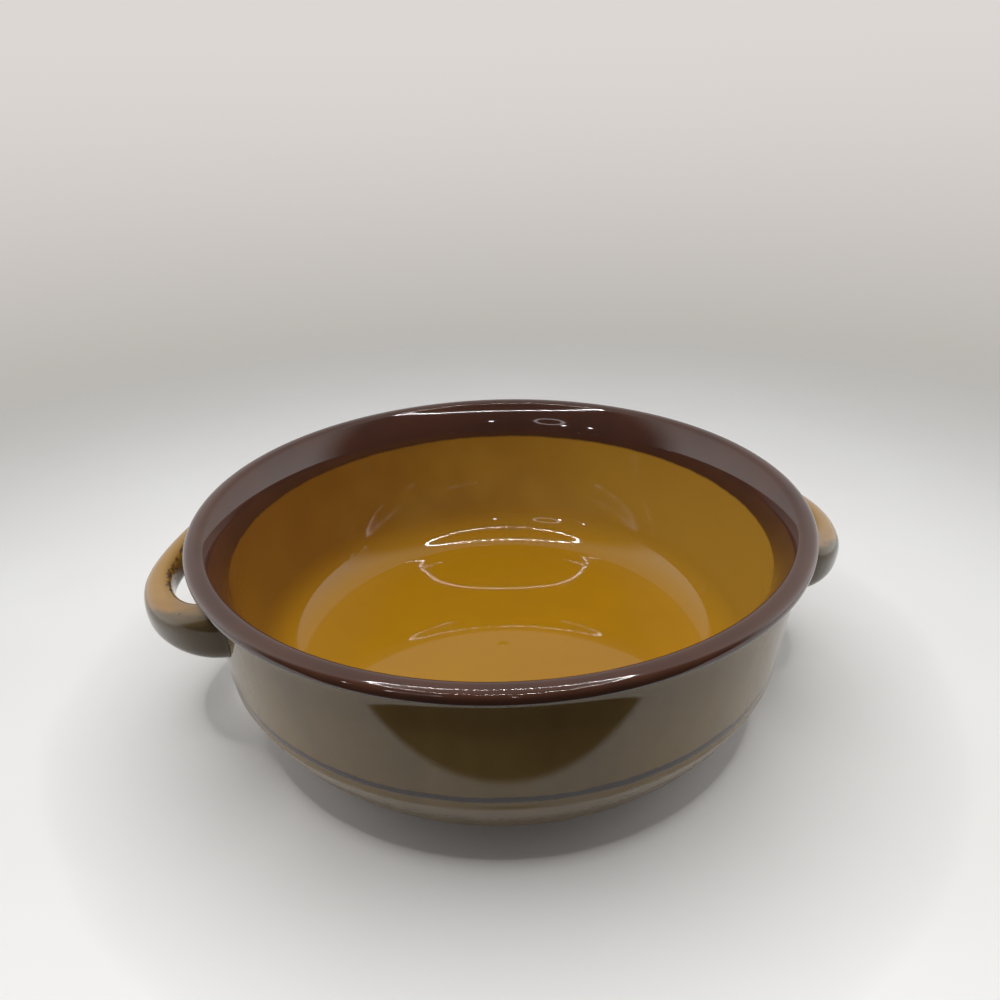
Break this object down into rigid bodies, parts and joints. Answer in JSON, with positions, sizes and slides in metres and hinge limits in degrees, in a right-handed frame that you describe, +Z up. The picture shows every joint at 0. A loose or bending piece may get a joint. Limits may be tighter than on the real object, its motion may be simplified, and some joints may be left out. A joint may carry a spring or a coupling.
{
  "type": "two-handled serving bowl",
  "caption": "Round stoneware serving bowl with a rolled brown rim, honey liner glaze, straight glazed wall, painted line and a fixed loop handle on each side.",
  "frame": {"origin": "centre of the foot, on the surface that the bowl stands on", "axes": "+Z up along the bowl's axis, +X towards the right-hand handle, -X towards the left-hand handle"},
  "size_m": [0.2858, 0.2498, 0.0894],
  "materials": {
    "clay": "bare fired stoneware, matt",
    "honey_glaze": "glossy honey glaze",
    "brown_glaze": "glossy dark brown glaze",
    "olive_glaze": "glossy olive-mustard glaze",
    "line_paint": "dark brown painted line",
    "mustard_glaze": "glossy mustard glaze with brown specks"
  },
  "bodies": {
    "root": {"bowl_body": "clay", "left_handle": "clay", "right_handle": "clay", "inner_glaze": "honey_glaze", "rim_glaze": "brown_glaze", "outer_glaze": "olive_glaze", "painted_line": "line_paint", "left_handle_glaze": "mustard_glaze", "right_handle_glaze": "mustard_glaze"}
  },
  "joints": []
}
